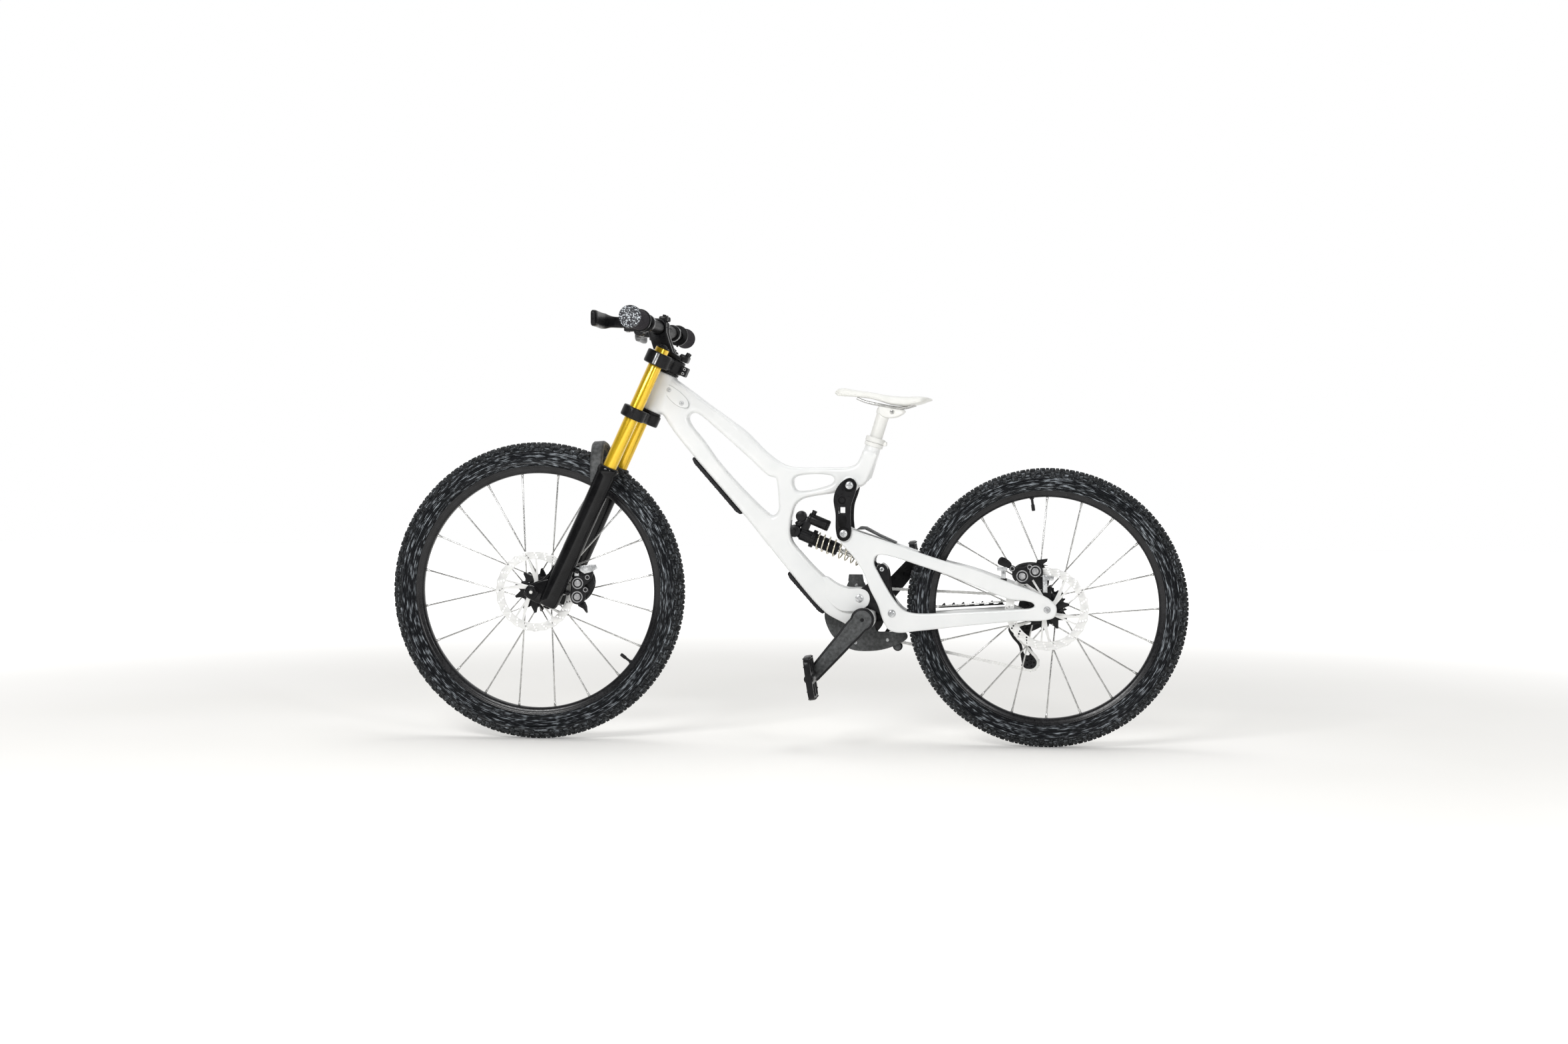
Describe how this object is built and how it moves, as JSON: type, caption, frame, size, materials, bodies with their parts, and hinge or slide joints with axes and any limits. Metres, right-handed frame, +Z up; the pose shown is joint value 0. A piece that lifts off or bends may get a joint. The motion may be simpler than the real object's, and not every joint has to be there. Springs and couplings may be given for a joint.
{
  "type": "full-suspension mountain bike",
  "caption": "Downhill mountain bike with a dual-crown fork, linkage rear suspension, disc brakes and chain drive; steering, wheels, suspension, cranks, pedals and levers move.",
  "frame": {"origin": "on the ground, below the middle of the bike's length and on its centre plane", "axes": "+Z up; the front wheel is toward -X and the rear wheel toward +X; the rider's left is -Y and the drive side is +Y"},
  "size_m": [1.9922, 0.8, 1.061],
  "materials": {
    "frame_white": "glossy white painted composite",
    "white_parts": "glossy white",
    "saddle_cover": "white padded cover",
    "black_alloy": "black anodised, satin",
    "black_steel": "black coated",
    "bar_black": "gloss black",
    "grey_alloy": "dark grey textured",
    "guard_black": "matt black",
    "grip_rubber": "matt black, fuzzy",
    "gold_tube": "polished gold",
    "spring_gold": "dull gold",
    "silver_alloy": "machined silver",
    "steel": "plain steel",
    "rotor_steel": "bright steel",
    "chain_steel": "plated",
    "rim_black": "black composite, satin",
    "tyre_rubber": "black rubber"
  },
  "bodies": {
    "frame": {"main_frame": "frame_white", "headset_cup_lower": "black_alloy", "headset_cup_upper": "black_alloy", "down_tube_guard_upper": "guard_black", "down_tube_guard_lower": "guard_black", "cable_port_cover": "white_parts", "seat_clamp": "white_parts", "bottom_bracket": "black_alloy", "upper_pivot_bolt": "black_alloy", "lower_pivot_bolt": "steel", "chain_guide": "guard_black", "chain_front": "chain_steel"},
    "seatpost": {"seatpost": "white_parts", "saddle": "saddle_cover"},
    "steering": {"lower_crown": "black_alloy", "upper_crown": "black_alloy", "steerer": "steel", "stanchion_left": "gold_tube", "stanchion_right": "gold_tube", "stem": "black_alloy", "handlebar": "bar_black", "grip_left": "grip_rubber", "grip_right": "grip_rubber", "brake_master_left": "black_alloy", "brake_master_right": "black_alloy"},
    "brake_lever_left": {"brake_lever_left": "black_alloy"},
    "brake_lever_right": {"brake_lever_right": "black_alloy"},
    "fork_lowers": {"fork_lowers": "black_alloy", "front_axle": "black_alloy", "front_caliper": "silver_alloy"},
    "front_wheel": {"front_tyre": "tyre_rubber", "front_rim": "rim_black", "front_hub": "steel", "front_rotor": "rotor_steel"},
    "lower_link": {"lower_link": "black_alloy"},
    "upper_link": {"upper_link": "black_alloy"},
    "shock_body": {"shock_body": "black_alloy", "shock_spring": "spring_gold"},
    "shock_shaft": {"shock_shaft": "steel"},
    "swingarm": {"swingarm": "frame_white", "rear_axle": "steel", "rear_caliper": "silver_alloy", "chainstay_guard": "guard_black", "mud_plate": "guard_black", "derailleur": "black_alloy", "chain_rear": "chain_steel"},
    "rear_wheel": {"rear_tyre": "tyre_rubber", "rear_rim": "rim_black", "rear_hub": "steel", "rear_rotor": "rotor_steel"},
    "cassette": {"cassette": "black_steel"},
    "crankset": {"crank_left": "grey_alloy", "crank_right": "grey_alloy", "chainring": "black_alloy"},
    "pedal_left": {"pedal_left": "black_alloy"},
    "pedal_right": {"pedal_right": "black_alloy"},
    "chain_upper_run": {"chain_upper_run": "chain_steel"},
    "chain_lower_run": {"chain_lower_run": "chain_steel"},
    "upper_pulley": {"upper_pulley": "guard_black"},
    "lower_pulley": {"lower_pulley": "guard_black"}
  },
  "joints": [
    {"name": "steer", "type": "hinge", "parent": "frame", "child": "steering", "pos_m": [-0.5556, 0, 0.34415], "axis": [0.4147, 0, 0.91], "range_deg": [-40, 40]},
    {"name": "fork_travel", "type": "slide", "parent": "steering", "child": "fork_lowers", "axis": [0.4147, 0, 0.91], "range_m": [0, 0.112], "stiffness_N_per_m": 9000, "springref_m": -0.025},
    {"name": "front_wheel_spin", "type": "hinge", "parent": "fork_lowers", "child": "front_wheel", "pos_m": [-0.62175, 0, 0.3743], "axis": [0, -1, 0], "continuous": true},
    {"name": "brake_pull_left", "type": "hinge", "parent": "steering", "child": "brake_lever_left", "pos_m": [-0.35975, -0.172, 1.038], "axis": [0, 0, 1], "range_deg": [0, 18], "stiffness_Nm_per_rad": 2, "springref_deg": -8.59},
    {"name": "brake_pull_right", "type": "hinge", "parent": "steering", "child": "brake_lever_right", "pos_m": [-0.35975, 0.172, 1.038], "axis": [0, 0, -1], "range_deg": [0, 18], "stiffness_Nm_per_rad": 2, "springref_deg": -8.59},
    {"name": "seatpost_height", "type": "slide", "parent": "frame", "child": "seatpost", "axis": [0.2924, 0, 0.9563], "range_m": [0, 0.05]},
    {"name": "suspension", "type": "hinge", "parent": "frame", "child": "lower_link", "pos_m": [0.19325, 0, 0.364], "axis": [0, -1, 0], "range_deg": [0, 27], "stiffness_Nm_per_rad": 550, "springref_deg": -14.32},
    {"name": "swingarm_pivot", "type": "hinge", "parent": "lower_link", "child": "swingarm", "pos_m": [0.27425, 0, 0.328], "axis": [0, -1, 0], "range_deg": [-13.4, 0]},
    {"name": "upper_link_pivot", "type": "hinge", "parent": "frame", "child": "upper_link", "pos_m": [0.16925, 0, 0.643], "axis": [0, -1, 0], "range_deg": [-16.9, 0]},
    {"name": "shock_eye_pivot", "type": "hinge", "parent": "frame", "child": "shock_body", "pos_m": [0.02625, 0, 0.53], "axis": [0, -1, 0], "range_deg": [0, 0.7]},
    {"name": "shock_stroke", "type": "slide", "parent": "shock_body", "child": "shock_shaft", "axis": [-0.9209, 0, 0.3899], "range_m": [0, 0.0426], "deforming": ["shock_spring"]},
    {"name": "rear_wheel_spin", "type": "hinge", "parent": "swingarm", "child": "rear_wheel", "pos_m": [0.65245, 0, 0.3436], "axis": [0, -1, 0], "continuous": true},
    {"name": "cassette_spin", "type": "hinge", "parent": "swingarm", "child": "cassette", "pos_m": [0.65245, 0, 0.3436], "axis": [0, -1, 0], "continuous": true},
    {"name": "crank_spin", "type": "hinge", "parent": "frame", "child": "crankset", "pos_m": [0.20325, 0, 0.313], "axis": [0, -1, 0], "continuous": true},
    {"name": "pedal_spin_left", "type": "hinge", "parent": "crankset", "child": "pedal_left", "pos_m": [0.08469, -0.147, 0.17757], "axis": [0, -1, 0], "continuous": true},
    {"name": "pedal_spin_right", "type": "hinge", "parent": "crankset", "child": "pedal_right", "pos_m": [0.32181, 0.147, 0.44843], "axis": [0, -1, 0], "continuous": true},
    {"name": "upper_run_swing", "type": "hinge", "parent": "frame", "child": "chain_upper_run", "pos_m": [0.20325, 0.055, 0.313], "axis": [0, -1, 0], "range_deg": [0, 16.1]},
    {"name": "lower_run_swing", "type": "hinge", "parent": "frame", "child": "chain_lower_run", "pos_m": [0.28325, 0.055, 0.24], "axis": [0, -1, 0], "range_deg": [0, 20.5]},
    {"name": "upper_pulley_spin", "type": "hinge", "parent": "swingarm", "child": "upper_pulley", "pos_m": [0.59225, 0.055, 0.279], "axis": [0, -1, 0], "continuous": true},
    {"name": "lower_pulley_spin", "type": "hinge", "parent": "swingarm", "child": "lower_pulley", "pos_m": [0.61325, 0.055, 0.203], "axis": [0, -1, 0], "continuous": true}
  ],
  "couplings": [
    {"joint": "swingarm_pivot", "follows": "suspension", "ratio": -0.494},
    {"joint": "upper_link_pivot", "follows": "suspension", "ratio": -0.6227},
    {"joint": "shock_eye_pivot", "follows": "suspension", "ratio": 0.025},
    {"joint": "shock_stroke", "follows": "suspension", "m_per_rad": 0.0897},
    {"joint": "upper_run_swing", "follows": "suspension", "ratio": 0.594},
    {"joint": "lower_run_swing", "follows": "suspension", "ratio": 0.756},
    {"joint": "cassette_spin", "follows": "crank_spin", "ratio": 3},
    {"joint": "upper_pulley_spin", "follows": "crank_spin", "ratio": -3.2727},
    {"joint": "lower_pulley_spin", "follows": "crank_spin", "ratio": 2.7692}
  ]
}
